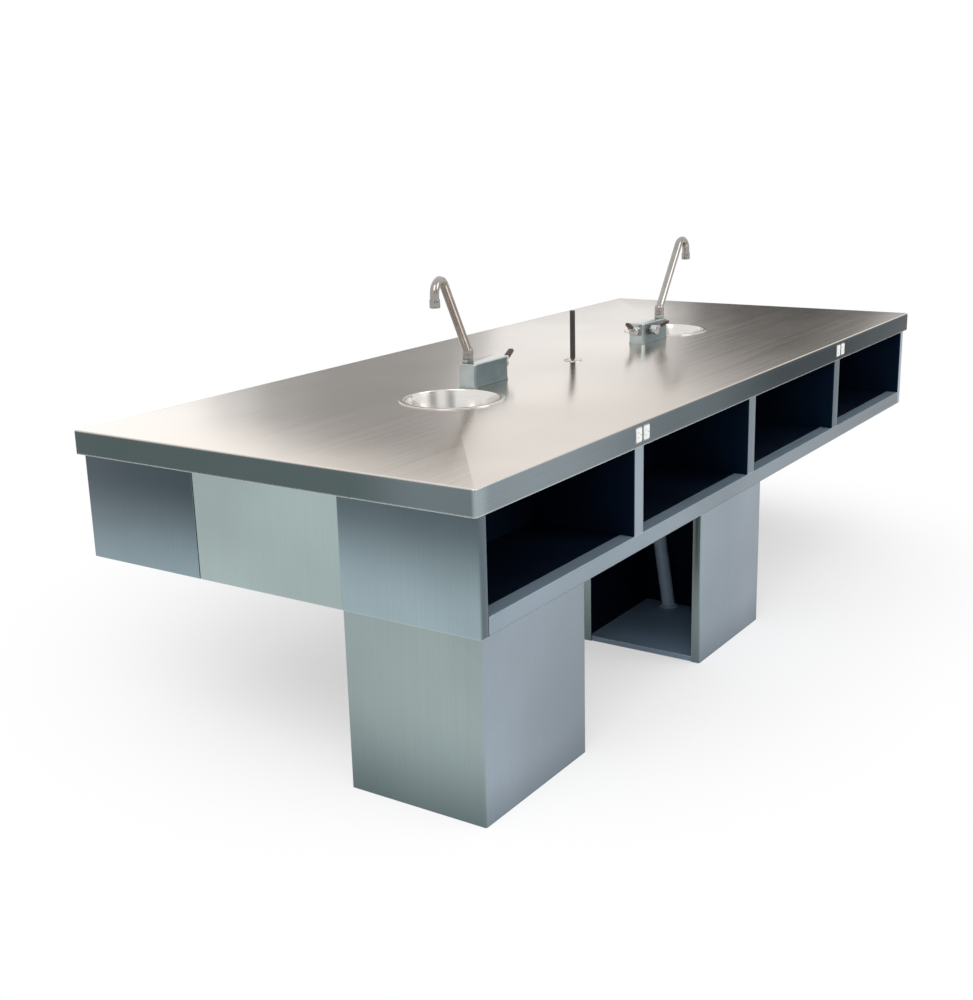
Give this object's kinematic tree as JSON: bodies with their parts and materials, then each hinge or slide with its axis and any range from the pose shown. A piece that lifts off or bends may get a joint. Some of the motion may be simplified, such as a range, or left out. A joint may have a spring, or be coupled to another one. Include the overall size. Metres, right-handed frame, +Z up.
{
  "type": "laboratory sink unit",
  "caption": "Stainless island bench with round basins, swivel mixer taps, open cubbies and hollow pedestals for a teaching laboratory.",
  "frame": {"origin": "floor level under the middle of the worktop", "axes": "+X along the bench towards the right end, +Y from the front cubbies to the back ones, +Z up"},
  "size_m": [2.8, 1.184, 1.0661],
  "materials": {
    "satin_top": "satin sheet, warm tone",
    "stainless": "satin sheet",
    "dark_liner": "dark matt coating",
    "chrome": "polished plate",
    "plywood": "raw board",
    "white_plastic": "moulded",
    "grey_plastic": "moulded pipe",
    "copper_pipe": "drawn copper tube, dulled",
    "black_plastic": "moulded"
  },
  "bodies": {
    "bench": {"back_divider_left": "stainless", "back_divider_middle": "stainless", "back_divider_right": "stainless", "back_end_base_plate": "stainless", "back_end_left": "stainless", "back_end_pedestal": "stainless", "back_end_right": "stainless", "back_inner_base_plate": "stainless", "back_inner_pedestal": "stainless", "back_outlet_left": "white_plastic", "back_outlet_right": "white_plastic", "back_rail": "stainless", "back_shelf_back": "dark_liner", "back_shelf_floor": "dark_liner", "core_board": "plywood", "cross_tie_left": "stainless", "cross_tie_right": "stainless", "front_divider_left": "stainless", "front_divider_middle": "stainless", "front_divider_right": "stainless", "front_end_base_plate": "stainless", "front_end_left": "stainless", "front_end_pedestal": "stainless", "front_end_right": "stainless", "front_inner_base_plate": "stainless", "front_inner_pedestal": "stainless", "front_outlet_left": "white_plastic", "front_outlet_right": "white_plastic", "front_rail": "stainless", "front_shelf_back": "dark_liner", "front_shelf_floor": "dark_liner", "left_basin": "stainless", "left_cold_supply": "copper_pipe", "left_hot_supply": "copper_pipe", "left_spout_nut": "chrome", "left_tap_body": "chrome", "left_trap": "grey_plastic", "left_waste": "chrome", "left_waste_pipe": "grey_plastic", "right_basin": "stainless", "right_cold_supply": "copper_pipe", "right_hot_supply": "copper_pipe", "right_spout_nut": "chrome", "right_tap_body": "chrome", "right_trap": "grey_plastic", "right_waste": "chrome", "right_waste_pipe": "grey_plastic", "riser": "black_plastic", "riser_flange": "stainless", "service_panel_left": "stainless", "service_panel_right": "stainless", "worktop": "satin_top"},
    "left_spout_swivel": {"left_spout": "chrome", "left_aerator": "chrome"},
    "left_cold_valve": {"left_cold_handle": "chrome"},
    "left_hot_valve": {"left_hot_handle": "chrome"},
    "right_spout_swivel": {"right_spout": "chrome", "right_aerator": "chrome"},
    "right_cold_valve": {"right_cold_handle": "chrome"},
    "right_hot_valve": {"right_hot_handle": "chrome"}
  },
  "joints": [
    {"name": "left_spout_turn", "type": "hinge", "parent": "bench", "child": "left_spout_swivel", "pos_m": [-0.501, 0.039, 0.837], "axis": [0, 0, 1], "range_deg": [-100, 100]},
    {"name": "left_cold_turn", "type": "hinge", "parent": "bench", "child": "left_cold_valve", "pos_m": [-0.354, 0.031, 0.792], "axis": [1, 0, 0], "range_deg": [0, 90]},
    {"name": "left_hot_turn", "type": "hinge", "parent": "bench", "child": "left_hot_valve", "pos_m": [-0.402, 0.059, 0.792], "axis": [0, 1, 0], "range_deg": [0, 90]},
    {"name": "right_spout_turn", "type": "hinge", "parent": "bench", "child": "right_spout_swivel", "pos_m": [0.501, -0.039, 0.837], "axis": [0, 0, 1], "range_deg": [-100, 100]},
    {"name": "right_cold_turn", "type": "hinge", "parent": "bench", "child": "right_cold_valve", "pos_m": [0.354, -0.031, 0.792], "axis": [-1, 0, 0], "range_deg": [0, 90]},
    {"name": "right_hot_turn", "type": "hinge", "parent": "bench", "child": "right_hot_valve", "pos_m": [0.402, -0.059, 0.792], "axis": [0, -1, 0], "range_deg": [0, 90]}
  ]
}
